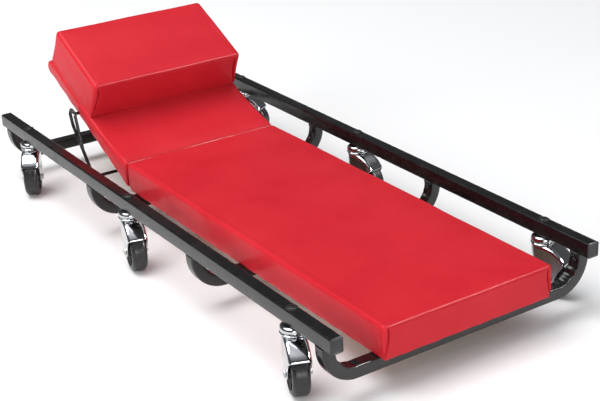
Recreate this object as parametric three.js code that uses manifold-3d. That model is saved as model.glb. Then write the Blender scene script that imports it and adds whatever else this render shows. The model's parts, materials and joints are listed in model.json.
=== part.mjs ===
// Mechanic's creeper: a padded board that rolls on six swivel casters, with a
// hinged headrest held up by a wire prop.
// Millimetres. +Z is up, +Y points to the head end, +X to the right of a person
// lying on it. The origin is on the floor under the middle of the frame.

import * as THREE from "three";
import { mergeVertices } from "three/addons/utils/BufferGeometryUtils.js";
import Module from "manifold-3d";

const wasm = await Module();
wasm.setup();

// ---------------------------------------------------------------- dimensions

const GAP = 0.3; // clearance between parts that touch

// Frame: two straight rails over four U-shaped cross braces.
const RAIL_LENGTH = 1016;
const RAIL_WIDTH = 19;
const RAIL_HEIGHT = 22;
const RAIL_TOP = 112;
const RAIL_X = 215; // centre of each rail
const TUBE_WALL = 1.5;
const BRACE_TUBE = 19; // square
const BRACE_TOP = 50.8;
const BRACE_BEND = 44; // bend radius on the centre line
const BRACE_PITCH = 322;

// Pads.
const BOARD_THICKNESS = 12;
const BOARD_WIDTH = 272;
const PAD_WIDTH = 286;
const BODY_FOOT_Y = -507;
const BODY_PAD_TOP = 102;
const PAD_ROUND = 6;

// Headrest: hinged at the head end of the body board, raised at rest.
const HINGE_Y = 189;
const HINGE_Z = 47;
const RAISED_DEG = 25.5;
const BOARD_UNDERSIDE = BRACE_TOP + GAP - HINGE_Z; // both boards, above the hinge axis
const HEAD_BOARD_START = 7; // measured from the hinge axis along the board
const HEAD_LENGTH = 319;
const HEAD_PAD_TOP = 34; // measured from the hinge axis, square to the board
const HEAD_PAD_HINGE_TOP = 42;
const HEAD_PAD_BEVEL = 21;
const PILLOW_START = 151;
const PILLOW_END = 305;
const PILLOW_TOP = 101;

// Butt hinges under the boards.
const HINGE_X = 92;
const HINGE_WIDTH = 50;
const LEAF_LENGTH = 15;
const LEAF_THICKNESS = 2;
const KNUCKLE_RADIUS = 3.4;
const HINGE_PIN_RADIUS = 1.6;

// Wire prop.
const WIRE_RADIUS = 2.8;
const PROP_X = 150; // plane of each leg
const PROP_PIVOT_ALONG = 192; // from the hinge axis along the headrest
const PROP_PIVOT_UP = BOARD_UNDERSIDE + BOARD_THICKNESS / 2;
const PROP_BAR_Y = 305;
const PROP_BAR_Z = 39;
const PROP_CORNER = 16; // bend between a leg and the cross bar
const PROP_EYE_WIDTH = 26;
const PROP_EYE_LENGTH = 46;
const PROP_TRUNNION = 26; // turned-in end, in the board's edge
const BUSH_RADIUS = 4.6;
const BUSH_BORE = 3.1;
const BUSH_LENGTH = 22;

// Notched rack for the prop's cross bar.
const RACK_WIDTH = 30;
const RACK_SHEET = 2;
const RACK_TOP = 32.4;
const RACK_BOTTOM = 24;
const RACK_NOTCH_DEPTH = 4;
const RACK_NOTCHES = [305, 296, 287, 278, 269];

// Casters: swivel stem casters bolted through the rails.
const WHEEL_RADIUS = 31.5;
const WHEEL_WIDTH = 24;
const TRAIL = 22;
const FORK_INSIDE = 27.4;
const FORK_SHEET = 2;
const CROWN_TOP = 77.5;
const CROWN_RADIUS = 17.5;
const RACE_TOP = 80;
const KINGPIN_RADIUS = 4.9;
const STEM_RADIUS = 4.7;
const STEM_HOLE = 5.1;
const AXLE_RADIUS = 3.5;
const CASTERS = [
  // name, side, position along the rail, swivel angle in degrees
  ["left_head", -1, 410, -30],
  ["left_mid", -1, 38, -14],
  ["left_foot", -1, -411, -22],
  ["right_head", 1, 410, 30],
  ["right_mid", 1, 38, 8],
  ["right_foot", 1, -411, 14],
];

const RAIL_BOTTOM = RAIL_TOP - RAIL_HEIGHT;
const BOARD_BOTTOM = BRACE_TOP + GAP;
const BOARD_TOP = BOARD_BOTTOM + BOARD_THICKNESS;

// ----------------------------------------------------------------- materials

function finish(color, roughness, metalness) {
  return new THREE.MeshStandardMaterial({ color, roughness, metalness });
}

const blackPaint = () => finish(0x17171a, 0.35, 0.2);
const chrome = () => finish(0xd8dadc, 0.12, 1);
const zinc = () => finish(0xa9abad, 0.4, 1);
const blackPlastic = () => finish(0x141414, 0.5, 0);
const blackWheel = () => finish(0x1c1b1c, 0.4, 0);
const plywood = () => finish(0xb98d57, 0.75, 0);
const redVinyl = () => finish(0xc9202c, 0.45, 0);

// ------------------------------------------------------------------- helpers

const creeper = new THREE.Group();

// A closed geometry as a solid that can be joined and cut.
function solid(geometry) {
  const bare = geometry.index ? geometry.toNonIndexed() : geometry.clone();
  bare.deleteAttribute("normal");
  bare.deleteAttribute("uv");
  const merged = mergeVertices(bare, 1e-4);
  const mesh = new wasm.Mesh({
    numProp: 3,
    vertProperties: merged.attributes.position.array,
    triVerts: new Uint32Array(merged.index.array),
  });
  return new wasm.Manifold(mesh);
}

function geometryOf(shape) {
  const mesh = shape.getMesh();
  const geometry = new THREE.BufferGeometry();
  geometry.setAttribute("position", new THREE.BufferAttribute(mesh.vertProperties, 3));
  geometry.setIndex(new THREE.BufferAttribute(mesh.triVerts, 1));
  const faceted = geometry.toNonIndexed();
  faceted.computeVertexNormals();
  return faceted;
}

function addPart(name, shape, material, parent = creeper) {
  const geometry = shape.isBufferGeometry ? shape : geometryOf(shape);
  const mesh = new THREE.Mesh(geometry, material);
  mesh.name = name;
  parent.add(mesh);
  return mesh;
}

// A box between two corners.
function block(low, high) {
  const size = low.map((v, i) => high[i] - v);
  const geometry = new THREE.BoxGeometry(...size);
  geometry.translate(...low.map((v, i) => v + size[i] / 2));
  return geometry;
}

// A cylinder along x, y or z, centred on a point.
function rod(axis, radius, length, centre, sides = 14) {
  const geometry = new THREE.CylinderGeometry(radius, radius, length, sides);
  if (axis === "x") geometry.rotateZ(Math.PI / 2);
  if (axis === "z") geometry.rotateX(Math.PI / 2);
  geometry.translate(...centre);
  return geometry;
}

function roundedRectangle(width, height, radius) {
  const x = width / 2;
  const y = height / 2;
  const shape = new THREE.Shape();
  shape.moveTo(x - radius, -y);
  shape.absarc(x - radius, -y + radius, radius, -Math.PI / 2, 0);
  shape.absarc(x - radius, y - radius, radius, 0, Math.PI / 2);
  shape.absarc(-x + radius, y - radius, radius, Math.PI / 2, Math.PI);
  shape.absarc(-x + radius, -y + radius, radius, Math.PI, 1.5 * Math.PI);
  shape.closePath();
  return shape;
}

// Turns a profile drawn in (y, z) and extruded along z so that it runs along x.
const ACROSS = new THREE.Matrix4().makeBasis(
  new THREE.Vector3(0, 1, 0),
  new THREE.Vector3(0, 0, 1),
  new THREE.Vector3(1, 0, 0),
);

// A (y, z) profile extruded along x, centred on x = 0.
function slab(shape, width, options = {}) {
  const bevel = options.bevelEnabled ? options.bevelThickness : 0;
  const depth = width - 2 * bevel;
  const geometry = new THREE.ExtrudeGeometry(shape, {
    depth,
    curveSegments: 6,
    bevelEnabled: false,
    ...options,
  });
  geometry.translate(0, 0, -depth / 2);
  geometry.applyMatrix4(ACROSS);
  return geometry;
}

function polygon(points) {
  return new THREE.Shape(points.map(([x, y]) => new THREE.Vector2(x, y)));
}

// A profile of [radius, height] points turned about the z axis.
function turned(points, sides) {
  const geometry = new THREE.LatheGeometry(points.map(([r, z]) => new THREE.Vector2(r, z)), sides);
  geometry.rotateX(Math.PI / 2);
  return geometry;
}

// A path through exact stations, for a sweep with one step between neighbours.
class StationPath extends THREE.Curve {
  constructor(stations) {
    super();
    this.stations = stations;
  }

  getPoint(t, target = new THREE.Vector3()) {
    const place = t * (this.stations.length - 1);
    const i = Math.min(Math.floor(place), this.stations.length - 2);
    return target.lerpVectors(this.stations[i], this.stations[i + 1], place - i);
  }

  getSpacedPoints(steps) {
    return Array.from({ length: steps + 1 }, (_, i) => this.getPoint(i / steps));
  }

  getTangentAt(u, target = new THREE.Vector3()) {
    const i = Math.round(u * (this.stations.length - 1));
    const before = this.stations[Math.max(i - 1, 0)];
    const here = this.stations[i];
    const after = this.stations[Math.min(i + 1, this.stations.length - 1)];
    const arriving = here.clone().sub(before).normalize();
    const leaving = after.clone().sub(here).normalize();
    return target.copy(arriving).add(leaving).normalize();
  }
}

function sweep(section, stations, curveSegments = 2) {
  return new THREE.ExtrudeGeometry(section, {
    steps: stations.length - 1,
    curveSegments,
    extrudePath: new StationPath(stations),
  });
}

// Points on a quarter bend (or part of one) about a centre, from one unit
// direction to another, both square to the bend's axis.
function bendPoints(centre, from, to, radius, steps) {
  const turn = from.angleTo(to);
  const axis = from.clone().cross(to).normalize();
  return Array.from({ length: steps + 1 }, (_, i) =>
    from.clone().applyAxisAngle(axis, (turn * i) / steps).multiplyScalar(radius).add(centre));
}

// A route through corner points with every inner corner rounded.
function roundedRoute(corners, radii, steps) {
  const route = [corners[0].clone()];
  for (let i = 1; i < corners.length - 1; i += 1) {
    const arriving = corners[i].clone().sub(corners[i - 1]).normalize();
    const leaving = corners[i + 1].clone().sub(corners[i]).normalize();
    const turn = arriving.angleTo(leaving);
    const radius = radii[i - 1];
    const setback = radius * Math.tan(turn / 2);
    const axis = arriving.clone().cross(leaving).normalize();
    const inward = axis.clone().cross(arriving);
    const start = corners[i].clone().addScaledVector(arriving, -setback);
    const centre = start.clone().addScaledVector(inward, radius);
    const from = inward.clone().negate();
    const to = from.clone().applyAxisAngle(axis, turn);
    route.push(...bendPoints(centre, from, to, radius, steps));
  }
  route.push(corners[corners.length - 1].clone());
  return route;
}

// --------------------------------------------------------------------- frame

function tubeSection(width, height) {
  const x = width / 2 - TUBE_WALL;
  const y = height / 2 - TUBE_WALL;
  const section = roundedRectangle(width, height, 2.5);
  section.holes.push(polygon([[-x, -y], [-x, y], [x, y], [x, -y]]));
  return section;
}

function rail(side) {
  const geometry = new THREE.ExtrudeGeometry(tubeSection(RAIL_WIDTH, RAIL_HEIGHT), {
    depth: RAIL_LENGTH,
    curveSegments: 2,
    bevelEnabled: false,
  });
  geometry.translate(0, 0, -RAIL_LENGTH / 2);
  geometry.rotateX(Math.PI / 2);
  geometry.translate(side * RAIL_X, 0, RAIL_TOP - RAIL_HEIGHT / 2);
  const holes = CASTERS.filter((caster) => caster[1] === side).map((caster) =>
    solid(rod("z", STEM_HOLE, RAIL_HEIGHT + 4, [side * RAIL_X, caster[2], RAIL_TOP - RAIL_HEIGHT / 2])));
  return holes.reduce((tube, hole) => tube.subtract(hole), solid(geometry));
}

// A plastic plug: a chamfered face plate with a spigot inside the tube.
function railCap(side, end) {
  const face = new THREE.ExtrudeGeometry(roundedRectangle(RAIL_WIDTH - 2, RAIL_HEIGHT - 2, 2), {
    depth: 0.7,
    curveSegments: 2,
    bevelEnabled: true,
    bevelSegments: 1,
    bevelThickness: 0.5,
    bevelSize: 1,
  });
  face.translate(0, 0, 0.5 + GAP);
  const inset = TUBE_WALL + GAP;
  const plug = new THREE.ExtrudeGeometry(
    roundedRectangle(RAIL_WIDTH - 2 * inset, RAIL_HEIGHT - 2 * inset, 1),
    { depth: 13, curveSegments: 2, bevelEnabled: false },
  );
  plug.translate(0, 0, -12);
  const cap = solid(face).add(solid(plug));
  const geometry = geometryOf(cap);
  geometry.rotateX(end > 0 ? -Math.PI / 2 : Math.PI / 2);
  geometry.translate(side * RAIL_X, end * RAIL_LENGTH / 2, RAIL_TOP - RAIL_HEIGHT / 2);
  return geometry;
}

// A square tube that drops from one rail, runs under the pads and rises to the
// other rail.
function crossBrace(y) {
  const z = BRACE_TOP - BRACE_TUBE / 2;
  const corners = [
    new THREE.Vector3(-RAIL_X, y, RAIL_BOTTOM - GAP),
    new THREE.Vector3(-RAIL_X, y, z),
    new THREE.Vector3(RAIL_X, y, z),
    new THREE.Vector3(RAIL_X, y, RAIL_BOTTOM - GAP),
  ];
  const route = roundedRoute(corners, [BRACE_BEND, BRACE_BEND], 5);
  return sweep(tubeSection(BRACE_TUBE, BRACE_TUBE), route, 1);
}

function addFrame() {
  for (const [side, name] of [[-1, "left"], [1, "right"]]) {
    addPart(`side_rail_${name}`, rail(side), blackPaint());
    addPart(`rail_cap_${name}_head`, railCap(side, 1), blackPlastic());
    addPart(`rail_cap_${name}_foot`, railCap(side, -1), blackPlastic());
  }
  ["head", "shoulder", "hip", "foot"].forEach((name, i) => {
    addPart(`cross_brace_${name}`, crossBrace((1.5 - i) * BRACE_PITCH), blackPaint());
  });
}

// ---------------------------------------------------------------------- pads

// A block with its long edges rounded, between two corners.
function cushionBlock(low, high, round) {
  const [width, length, height] = low.map((v, i) => high[i] - v);
  const outline = roundedRectangle(length - 2 * round, height - 2 * round, 0.5);
  const geometry = slab(outline, width, {
    bevelEnabled: true,
    bevelThickness: round,
    bevelSize: round,
    bevelSegments: 2,
    curveSegments: 1,
  });
  geometry.translate(low[0] + width / 2, low[1] + length / 2, low[2] + height / 2);
  return geometry;
}

function addBodyPad() {
  const boardEnd = HINGE_Y - 3;
  const board = block(
    [-BOARD_WIDTH / 2, BODY_FOOT_Y + 4, BOARD_BOTTOM],
    [BOARD_WIDTH / 2, boardEnd, BOARD_TOP],
  );
  addPart("body_board", board, plywood());
  const cushion = cushionBlock(
    [-PAD_WIDTH / 2, BODY_FOOT_Y, BOARD_TOP + GAP],
    [PAD_WIDTH / 2, boardEnd, BODY_PAD_TOP],
    PAD_ROUND,
  );
  addPart("body_cushion", cushion, redVinyl());
}

// The headrest's own frame: origin on the hinge axis, +Y along the board
// towards the head end, +Z square to the board.
const headrest = new THREE.Group();
headrest.position.set(0, HINGE_Y, HINGE_Z);
headrest.rotation.x = THREE.MathUtils.degToRad(RAISED_DEG);
creeper.add(headrest);

function addHeadrest() {
  const bottom = BOARD_UNDERSIDE;
  const top = bottom + BOARD_THICKNESS;
  const half = BOARD_WIDTH / 2;
  const plank = solid(block([-half, HEAD_BOARD_START, bottom], [half, HEAD_LENGTH - 3, top]));
  const bushHoles = [-1, 1].map((side) => solid(rod(
    "x",
    BUSH_RADIUS + GAP,
    2 * (BUSH_LENGTH + 1),
    [side * half, PROP_PIVOT_ALONG, PROP_PIVOT_UP],
  )));
  addPart("headrest_board", bushHoles.reduce((board, hole) => board.subtract(hole), plank), plywood(), headrest);

  const low = top + GAP;
  const profile = polygon([
    [HEAD_BOARD_START + 2, low],
    [HEAD_LENGTH, low],
    [HEAD_LENGTH, low + 4],
    [PILLOW_END + 2, HEAD_PAD_TOP],
    [PILLOW_START - 20, HEAD_PAD_TOP],
    [HEAD_PAD_BEVEL + 12, HEAD_PAD_HINGE_TOP],
    [HEAD_PAD_BEVEL, HEAD_PAD_HINGE_TOP - 2],
  ]);
  addPart("headrest_cushion", slab(profile, PAD_WIDTH), redVinyl(), headrest);

  const pillow = cushionBlock(
    [-PAD_WIDTH / 2 + 1, PILLOW_START, HEAD_PAD_TOP + GAP],
    [PAD_WIDTH / 2 - 1, PILLOW_END, PILLOW_TOP],
    PAD_ROUND,
  );
  addPart("headrest_pillow", pillow, redVinyl(), headrest);

  for (const [side, name] of [[-1, "left"], [1, "right"]]) {
    const sleeve = solid(rod("x", BUSH_RADIUS, BUSH_LENGTH, [0, 0, 0]));
    const bore = solid(rod("x", BUSH_BORE, BUSH_LENGTH + 4, [0, 0, 0], 16));
    const bush = addPart(`prop_bush_${name}`, sleeve.subtract(bore), zinc(), headrest);
    bush.position.set(side * (half - BUSH_LENGTH / 2), PROP_PIVOT_ALONG, PROP_PIVOT_UP);
  }
}

// -------------------------------------------------------------------- hinges

// One leaf in the headrest's frame, lying flat against the board's underside.
// direction is +1 for the headrest's leaf and -1 for the body board's leaf.
function hingeLeaf(direction, knuckles) {
  const top = BOARD_UNDERSIDE - GAP;
  const bottom = top - LEAF_THICKNESS;
  const half = HINGE_WIDTH / 2;
  const near = KNUCKLE_RADIUS + 0.8;
  const far = KNUCKLE_RADIUS + LEAF_LENGTH - 3;
  const plate = direction > 0
    ? block([-half, near, bottom], [half, far, top])
    : block([-half, -far, bottom], [half, -near, top]);
  let leaf = solid(plate);
  for (const [start, end] of knuckles) {
    const centre = (start + end) / 2;
    leaf = leaf.add(solid(rod("x", KNUCKLE_RADIUS, end - start, [centre, 0, 0], 16)));
    const lip = direction > 0
      ? block([start, 0, bottom], [end, near + 1, KNUCKLE_RADIUS - 0.2])
      : block([start, -near - 1, bottom], [end, 0, KNUCKLE_RADIUS - 0.2]);
    leaf = leaf.add(solid(lip));
  }
  return leaf.subtract(solid(rod("x", HINGE_PIN_RADIUS + GAP, HINGE_WIDTH + 4, [0, 0, 0], 12)));
}

function addHinges() {
  const third = HINGE_WIDTH / 6;
  const outer = [[-HINGE_WIDTH / 2, -third - GAP], [third + GAP, HINGE_WIDTH / 2]];
  const middle = [[-third, third]];
  const bodySide = new THREE.Group();
  bodySide.position.set(0, HINGE_Y, HINGE_Z);
  creeper.add(bodySide);
  for (const [side, name] of [[-1, "left"], [1, "right"]]) {
    const x = side * HINGE_X;
    addPart(`hinge_body_leaf_${name}`, hingeLeaf(-1, outer), zinc(), bodySide).position.x = x;
    addPart(`hinge_head_leaf_${name}`, hingeLeaf(1, middle), zinc(), headrest).position.x = x;
    const pin = solid(rod("x", HINGE_PIN_RADIUS, HINGE_WIDTH + 1, [0, 0, 0], 12))
      .add(solid(rod("x", HINGE_PIN_RADIUS + 1, 1.2, [HINGE_WIDTH / 2 + 1, 0, 0], 12)));
    addPart(`hinge_pin_${name}`, pin, zinc(), bodySide).position.x = x;
  }
}

// ---------------------------------------------------------------------- prop

// One bent wire: a turned-in end in each edge of the headrest board, a long
// eye beside it, a leg down each side and a cross bar between the legs.
function propWire() {
  const pivot = new THREE.Vector3(0, PROP_PIVOT_ALONG, PROP_PIVOT_UP);
  headrest.updateMatrixWorld(true);
  headrest.localToWorld(pivot);
  const bar = new THREE.Vector3(0, PROP_BAR_Y, PROP_BAR_Z);
  const up = pivot.clone().sub(bar).normalize();
  const headward = new THREE.Vector3(0, up.z, -up.y);
  const at = (side, along, across) => new THREE.Vector3(side * PROP_X, 0, 0)
    .add(bar).addScaledVector(up, along).addScaledVector(headward, across);
  const reach = pivot.distanceTo(bar);
  const half = (side) => [
    new THREE.Vector3(side * (PROP_X - PROP_TRUNNION), 0, 0).add(pivot),
    new THREE.Vector3(side * PROP_X, 0, 0).add(pivot),
    at(side, reach + 8, PROP_EYE_WIDTH * 0.45),
    at(side, reach - PROP_EYE_LENGTH * 0.35, PROP_EYE_WIDTH * 0.85),
    at(side, 0, 0),
  ];
  const left = half(-1);
  const right = half(1).reverse();
  const corners = [...left, ...right];
  const radii = [5, 9, 30, PROP_CORNER, PROP_CORNER, 30, 9, 5];
  const route = roundedRoute(corners, radii, 3);
  const section = new THREE.Shape();
  section.absarc(0, 0, WIRE_RADIUS, 0, 2 * Math.PI);
  return sweep(section, route, 4);
}

function addProp() {
  addPart("prop_wire", propWire(), blackPaint());
}

// A notched channel between the two head-end braces.
function rackChannel() {
  const low = 0.5 * BRACE_PITCH + BRACE_TUBE / 2 + GAP;
  const high = 1.5 * BRACE_PITCH - BRACE_TUBE / 2 - GAP;
  const half = RACK_WIDTH / 2;
  const outside = block([-half, low, RACK_BOTTOM], [half, high, RACK_TOP]);
  const inside = block(
    [-half + RACK_SHEET, low - 1, RACK_BOTTOM + RACK_SHEET],
    [half - RACK_SHEET, high + 1, RACK_TOP + 1],
  );
  let channel = solid(outside).subtract(solid(inside));
  for (const y of RACK_NOTCHES) {
    const notch = polygon([
      [y - 4, RACK_TOP + 1],
      [y - 3, RACK_TOP - RACK_NOTCH_DEPTH],
      [y + 3, RACK_TOP - RACK_NOTCH_DEPTH],
      [y + 4, RACK_TOP + 1],
    ]);
    channel = channel.subtract(solid(slab(notch, RACK_WIDTH + 4)));
  }
  for (const [from, to] of [[low, low + RACK_SHEET], [high - RACK_SHEET, high]]) {
    channel = channel.add(solid(block([-half, from, RACK_BOTTOM], [half, to, BRACE_TOP - 2])));
  }
  return channel;
}

// ------------------------------------------------------------------- casters

// Seen from the side: crown over the stem, a hood over the wheel and two legs
// that run back to the axle.
function forkProfile() {
  const boss = 9;
  const profile = new THREE.Shape();
  profile.moveTo(CROWN_RADIUS - 2, CROWN_TOP);
  profile.lineTo(CROWN_RADIUS, CROWN_TOP - 3);
  profile.lineTo(CROWN_RADIUS - 3, CROWN_TOP - 14);
  profile.lineTo(-TRAIL + boss, WHEEL_RADIUS + 2);
  profile.absarc(-TRAIL, WHEEL_RADIUS, boss, 0.1, -Math.PI, true);
  profile.lineTo(-TRAIL - boss - 3, WHEEL_RADIUS + 18);
  profile.lineTo(-TRAIL - 25, WHEEL_RADIUS + 25);
  profile.absarc(-TRAIL, WHEEL_RADIUS, 38, 0.74 * Math.PI, 0.55 * Math.PI, true);
  profile.lineTo(-CROWN_RADIUS + 4, CROWN_TOP);
  profile.closePath();
  return profile;
}

// The space for the wheel, open below, in front and behind.
function forkInsideProfile() {
  const inside = CROWN_TOP - FORK_SHEET;
  const profile = new THREE.Shape();
  profile.moveTo(CROWN_RADIUS + 10, 0);
  profile.lineTo(CROWN_RADIUS + 10, CROWN_TOP - 9);
  profile.lineTo(CROWN_RADIUS - 3, inside);
  profile.lineTo(-CROWN_RADIUS + 5, inside);
  profile.absarc(-TRAIL, WHEEL_RADIUS, 38 - FORK_SHEET, 0.55 * Math.PI, 0.74 * Math.PI, false);
  profile.lineTo(-TRAIL - 60, WHEEL_RADIUS + 10);
  profile.lineTo(-TRAIL - 60, 0);
  profile.closePath();
  return profile;
}

function fork() {
  const outside = FORK_INSIDE + 2 * FORK_SHEET;
  const outer = solid(slab(forkProfile(), outside, { curveSegments: 4 }));
  const plan = new THREE.Shape();
  plan.moveTo(outside / 2, -80);
  plan.lineTo(outside / 2, 0);
  plan.absarc(0, 0, outside / 2, 0, Math.PI);
  plan.lineTo(-outside / 2, -80);
  plan.closePath();
  const column = new THREE.ExtrudeGeometry(plan, { depth: 120, curveSegments: 5, bevelEnabled: false });
  const crown = solid(turned([
    [0, CROWN_TOP - FORK_SHEET], [CROWN_RADIUS, CROWN_TOP - FORK_SHEET], [CROWN_RADIUS, CROWN_TOP - 0.8],
    [CROWN_RADIUS - 3, CROWN_TOP + 0.6], [CROWN_RADIUS - 4, RACE_TOP], [0, RACE_TOP],
  ], 16));
  const inner = solid(slab(forkInsideProfile(), FORK_INSIDE, { curveSegments: 4 }));
  const kingpinHole = solid(rod("z", KINGPIN_RADIUS + 0.4, 20, [0, 0, CROWN_TOP], 12));
  const axleHole = solid(rod("x", AXLE_RADIUS + GAP, 60, [0, -TRAIL, WHEEL_RADIUS], 10));
  return outer.intersect(solid(column)).subtract(inner).add(crown).subtract(kingpinHole).subtract(axleHole);
}

// Rivet head, spindle, bearing cup and threaded stem, turned as one piece.
function kingpin() {
  const head = CROWN_TOP - FORK_SHEET - 0.4;
  return turned([
    [0, head - 3], [5.5, head - 3], [7.2, head - 1.5], [7.2, head], [KINGPIN_RADIUS, head],
    [KINGPIN_RADIUS, RACE_TOP + 0.5], [16.8, RACE_TOP + 0.8], [16.8, RACE_TOP + 4], [11, RAIL_BOTTOM - GAP],
    [STEM_RADIUS, RAIL_BOTTOM - GAP], [STEM_RADIUS, RAIL_TOP + 2], [0, RAIL_TOP + 2],
  ], 16);
}

function stemNut() {
  const low = RAIL_TOP + GAP;
  return turned([
    [STEM_RADIUS + 0.4, low], [8.4, low], [8.4, low + 1.4], [6.6, low + 3.4], [0, low + 4.6],
    [0, RAIL_TOP + 2.6], [STEM_RADIUS + 0.4, RAIL_TOP + 2.6], [STEM_RADIUS + 0.4, low],
  ], 16);
}

function wheel() {
  const half = WHEEL_WIDTH / 2;
  const tread = [
    [AXLE_RADIUS + 0.5, half + 1], [8.5, half + 1], [10, half - 3], [22, half - 3], [24.5, half - 0.5],
    [WHEEL_RADIUS - 2, half - 1.5],
  ];
  const mirrored = tread.map(([r, x]) => [r, -x]).reverse();
  const middle = [[WHEEL_RADIUS, half - 6], [WHEEL_RADIUS, 6 - half]];
  const profile = [...tread, ...middle, ...mirrored, tread[0]].reverse();
  const geometry = turned(profile, 22);
  geometry.rotateY(Math.PI / 2);
  geometry.translate(0, -TRAIL, WHEEL_RADIUS);
  return geometry;
}

function axle() {
  const end = FORK_INSIDE / 2 + FORK_SHEET + GAP;
  const geometry = turned([
    [0, -end - 1.8], [4.2, -end - 1.8], [5.6, -end], [AXLE_RADIUS, -end],
    [AXLE_RADIUS, end], [5.6, end], [5.6, end + 2.4], [0, end + 2.4],
  ], 12);
  geometry.rotateY(Math.PI / 2);
  geometry.translate(0, -TRAIL, WHEEL_RADIUS);
  return geometry;
}

function addCasters() {
  for (const [name, side, y, swivelDeg] of CASTERS) {
    const fixed = new THREE.Group();
    fixed.position.set(side * RAIL_X, y, 0);
    creeper.add(fixed);
    addPart(`caster_kingpin_${name}`, kingpin(), chrome(), fixed);
    addPart(`caster_nut_${name}`, stemNut(), blackPaint(), fixed);
    const swivel = new THREE.Group();
    swivel.rotation.z = THREE.MathUtils.degToRad(swivelDeg);
    fixed.add(swivel);
    addPart(`caster_fork_${name}`, fork(), chrome(), swivel);
    addPart(`caster_axle_${name}`, axle(), zinc(), swivel);
    addPart(`caster_wheel_${name}`, wheel(), blackWheel(), swivel);
  }
}

addFrame();
addBodyPad();
addHeadrest();
addHinges();
addProp();
addPart("prop_rack", rackChannel(), blackPaint());
addCasters();

export default creeper;
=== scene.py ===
"""Mechanic's creeper: the looks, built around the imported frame.

Metres, in the frame's own axes: +X right, +Y to the head end, +Z up.
Shapes are drawn in millimetres and scaled by MM where they become meshes.
"""

import json
import math

import bmesh
import bpy
import numpy as np
from mathutils import Matrix, Vector


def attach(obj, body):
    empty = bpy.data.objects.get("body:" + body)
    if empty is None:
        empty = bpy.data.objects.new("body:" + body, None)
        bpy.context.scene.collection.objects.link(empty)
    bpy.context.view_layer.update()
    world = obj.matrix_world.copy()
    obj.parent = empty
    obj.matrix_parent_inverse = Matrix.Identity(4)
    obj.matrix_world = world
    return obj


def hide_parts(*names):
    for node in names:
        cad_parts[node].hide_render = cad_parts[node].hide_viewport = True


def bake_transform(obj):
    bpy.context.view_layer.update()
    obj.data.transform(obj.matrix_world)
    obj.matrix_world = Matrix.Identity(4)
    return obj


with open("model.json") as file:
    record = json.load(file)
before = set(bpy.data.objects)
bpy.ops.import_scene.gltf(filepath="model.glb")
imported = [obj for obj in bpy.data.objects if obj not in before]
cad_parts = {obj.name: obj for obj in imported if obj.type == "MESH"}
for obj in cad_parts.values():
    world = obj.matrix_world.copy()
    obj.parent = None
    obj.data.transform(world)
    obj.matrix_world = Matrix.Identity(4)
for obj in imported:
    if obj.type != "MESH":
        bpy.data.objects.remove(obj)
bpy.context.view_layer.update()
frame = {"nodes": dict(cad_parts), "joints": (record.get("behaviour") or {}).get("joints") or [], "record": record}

MM = 0.001
WORLD = Matrix.Identity(4)
SIDES = {"left": -1, "right": 1}
ENDS = {"head": 1, "foot": -1}
BRACES = ("head", "shoulder", "hip", "foot")
CASTERS = [f"{side}_{place}" for side in SIDES for place in ("head", "mid", "foot")]


# ---- the frame

def joint(name):
    return next(j for j in frame["joints"] if j["name"] == name)


def box_in(node, place=WORLD):
    """A CAD node's lowest and highest corners in mm, measured in a frame of its own."""
    inverse = place.inverted()
    points = np.array([inverse @ v.co for v in frame["nodes"][node].data.vertices]) / MM
    return points.min(0), points.max(0)


def shift(point):
    """A frame moved to a point in mm."""
    return Matrix.Translation(Vector(point) * MM)


def rotation(degrees, axis):
    return Matrix.Rotation(math.radians(degrees), 4, axis)


def headrest_place():
    """The raised headrest's frame: origin on the hinge axis, Y along the board, Z square to it."""
    tilt = joint("headrest_tilt")
    return Matrix.Translation(tilt["pos_m"]) @ rotation(-tilt["range_deg"][0], "X")


def swivel_place(caster):
    """A caster's frame: origin on the floor under its stem, X along its axle, -Y trailing."""
    x, y, _ = joint(f"swivel_{caster}")["pos_m"]
    along = joint(f"roll_{caster}")["axis"]
    turn = math.atan2(along[1], along[0])
    return Matrix.Translation((x, y, 0)) @ Matrix.Rotation(turn, 4, "Z")


HEADREST = headrest_place()


# ---- materials

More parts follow.
